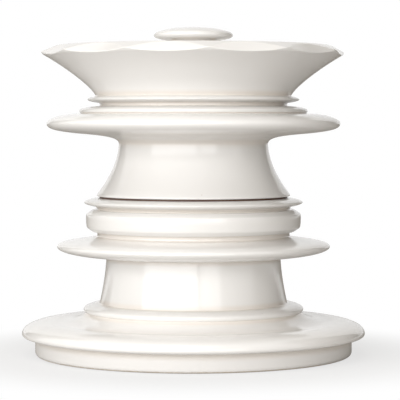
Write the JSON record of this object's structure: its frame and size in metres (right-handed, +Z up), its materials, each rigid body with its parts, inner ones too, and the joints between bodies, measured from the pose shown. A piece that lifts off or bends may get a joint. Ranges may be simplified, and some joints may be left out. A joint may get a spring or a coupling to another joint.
{
  "type": "pepper mill",
  "caption": "Table pepper mill turned like a chess queen: a glazed white porcelain body, a turning head with a scalloped crown, and a flat knob that sets the grind.",
  "frame": {"origin": "centre of the face that the mill stands on", "axes": "+Z up along the axis of the turned pieces; +X to the right as the mill is seen from the front, the front facing -Y"},
  "size_m": [0.1256, 0.1256, 0.1199],
  "materials": {
    "porcelain": "white glaze, high gloss",
    "clear_plastic": "clear, polished",
    "dark_plastic": "moulded, fine matt",
    "brown_plastic": "moulded, fine matt",
    "steel": "turned and brushed",
    "brass": "machined",
    "silicone": "translucent white, matt"
  },
  "bodies": {
    "body": {"body_shell": "porcelain", "pepper_chamber": "clear_plastic", "lip_gasket": "silicone", "grinder_housing": "dark_plastic", "base_gasket": "silicone", "stator_burr": "steel", "retainer_bridge": "steel", "bridge_screws": "steel", "foot_ring": "silicone"},
    "bush": {"mouth_bush": "brown_plastic"},
    "head": {"head_shell": "porcelain", "head_plug": "dark_plastic", "plug_seal": "silicone", "drive_plate": "steel", "drive_screws": "steel", "crown_bush": "brass", "knob_washer": "silicone"},
    "knob": {"finial_knob": "porcelain", "finial_insert": "brass"},
    "spring_carrier": {"spring_seat": "dark_plastic", "burr_spring": "steel"},
    "spindle": {"drive_shaft": "steel", "rotor_burr": "steel", "rotor_pin": "steel", "spring_washer": "steel"}
  },
  "joints": [
    {"name": "head_lift", "type": "slide", "parent": "body", "child": "bush", "axis": [0, 0, 1], "range_m": [0, 0.04]},
    {"name": "head_turn", "type": "hinge", "parent": "bush", "child": "head", "pos_m": [0, 0, 0.0582], "axis": [0, 0, 1], "continuous": true},
    {"name": "knob_turn", "type": "hinge", "parent": "head", "child": "knob", "pos_m": [0, 0, 0.1134], "axis": [0, 0, 1], "range_deg": [-270, 270]},
    {"name": "shaft_turn", "type": "hinge", "parent": "body", "child": "spring_carrier", "pos_m": [0, 0, 0.03], "axis": [0, 0, 1], "continuous": true},
    {"name": "burr_lift", "type": "slide", "parent": "spring_carrier", "child": "spindle", "axis": [0, 0, 1], "range_m": [-0.0006, 0.0006], "deforming": ["burr_spring"]}
  ],
  "couplings": [
    {"joint": "shaft_turn", "follows": "head_turn", "ratio": 1},
    {"joint": "knob_turn", "follows": "burr_lift", "rad_per_m": -7853.9}
  ]
}
